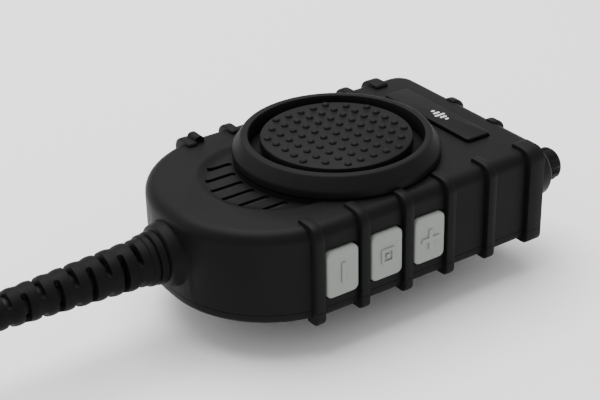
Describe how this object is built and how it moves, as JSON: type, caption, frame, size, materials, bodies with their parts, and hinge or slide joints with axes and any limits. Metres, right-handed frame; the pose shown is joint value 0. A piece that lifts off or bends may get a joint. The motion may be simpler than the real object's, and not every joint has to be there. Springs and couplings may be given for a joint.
{
  "type": "hand microphone",
  "caption": "Rugged hand-held speaker microphone with a large round talk button, ribbed case, side keys, capped accessory socket, swivelling clip and lead",
  "frame": {"origin": "under the middle of the case without its lead, on the surface that the rear clip lies on", "axes": "+X from the cable end to the top end, +Y away from the side keys, +Z out of the front face with the talk button"},
  "size_m": [0.2705, 0.098, 0.042],
  "materials": {
    "black_rubber": "matt black rubber",
    "boot_rubber": "satin moulded black rubber",
    "brass": "turned brass",
    "button_rubber": "satin moulded black rubber with raised studs",
    "cap_rubber": "satin moulded black rubber",
    "case_plastic": "fine-textured moulded black polycarbonate blend",
    "circuit_board": "green solder mask",
    "clip_plastic": "glass-filled moulded black plastic",
    "cone_paper": "pressed paper",
    "cord_jacket": "smooth black cable jacket",
    "dark_plastic": "moulded dark plastic",
    "key_plastic": "satin light grey moulded plastic",
    "plate_plastic": null,
    "plug_metal": "turned and plated plug pins",
    "plug_rubber": "satin overmoulded black rubber",
    "silicone": "grey silicone",
    "steel": "zinc plated steel",
    "strap_fabric": "woven nylon hook-and-loop strap",
    "wire_jacket": "red wire insulation"
  },
  "bodies": {
    "case": {"accessory_socket": "brass", "bezel_ring": "case_plastic", "board_screw_1": "steel", "board_screw_2": "steel", "board_screw_3": "steel", "board_screw_4": "steel", "cable_clamp": "steel", "cable_core": "cord_jacket", "clamp_screw_1": "steel", "clamp_screw_2": "steel", "clip_washer": "steel", "cord": "cord_jacket", "cord_coil": "cord_jacket", "cord_tail": "cord_jacket", "cord_tie": "strap_fabric", "front_housing": "case_plastic", "housing_screw_1": "steel", "housing_screw_2": "steel", "housing_screw_3": "steel", "housing_screw_4": "steel", "housing_seal": "black_rubber", "key_board": "circuit_board", "key_mat": "silicone", "key_switch_1": "steel", "key_switch_2": "steel", "key_switch_3": "steel", "label_plate": "plate_plastic", "main_board": "circuit_board", "mic_boot": "black_rubber", "mic_capsule": "steel", "plug_body": "plug_rubber", "plug_pin_large": "plug_metal", "plug_pin_small": "plug_metal", "ptt_seal": "black_rubber", "ptt_spring": "steel", "ptt_switch": "dark_plastic", "rear_cover": "case_plastic", "signal_lead": "wire_jacket", "socket_nut": "brass", "speaker_basket": "dark_plastic", "speaker_cone": "cone_paper", "speaker_gasket": "black_rubber", "speaker_mesh": "steel", "strain_relief": "boot_rubber"},
    "ptt": {"ptt_button": "button_rubber", "ptt_retaining_ring": "steel"},
    "volume_down": {"volume_down_key": "key_plastic"},
    "function": {"function_key": "key_plastic"},
    "volume_up": {"volume_up_key": "key_plastic"},
    "socket_cover": {"socket_cap": "cap_rubber"},
    "clip_turntable": {"clip_base": "clip_plastic", "clip_retaining_ring": "steel", "clip_pin": "steel", "clip_spring": "steel"},
    "clip_jaw": {"clip_lever": "clip_plastic"}
  },
  "joints": [
    {"name": "ptt_press", "type": "slide", "parent": "case", "child": "ptt", "axis": [0, 0, -1], "range_m": [0, 0.0012], "stiffness_N_per_m": 2000, "springref_m": -0.0008, "deforming": ["ptt_spring"]},
    {"name": "volume_down_press", "type": "slide", "parent": "case", "child": "volume_down", "axis": [0, 1, 0], "range_m": [0, 0.0006], "stiffness_N_per_m": 1500, "springref_m": -0.0005},
    {"name": "function_press", "type": "slide", "parent": "case", "child": "function", "axis": [0, 1, 0], "range_m": [0, 0.0006], "stiffness_N_per_m": 1500, "springref_m": -0.0005},
    {"name": "volume_up_press", "type": "slide", "parent": "case", "child": "volume_up", "axis": [0, 1, 0], "range_m": [0, 0.0006], "stiffness_N_per_m": 1500, "springref_m": -0.0005},
    {"name": "socket_cap_pull", "type": "slide", "parent": "case", "child": "socket_cover", "axis": [1, 0, 0], "range_m": [0, 0.01]},
    {"name": "clip_swivel", "type": "hinge", "parent": "case", "child": "clip_turntable", "pos_m": [0, 0, 0.0107], "axis": [0, 0, 1], "continuous": true},
    {"name": "clip_pinch", "type": "hinge", "parent": "clip_turntable", "child": "clip_jaw", "pos_m": [0.006, 0, 0.0052], "axis": [0, -1, 0], "range_deg": [0, 18], "stiffness_Nm_per_rad": 0.5, "springref_deg": -20.05}
  ]
}
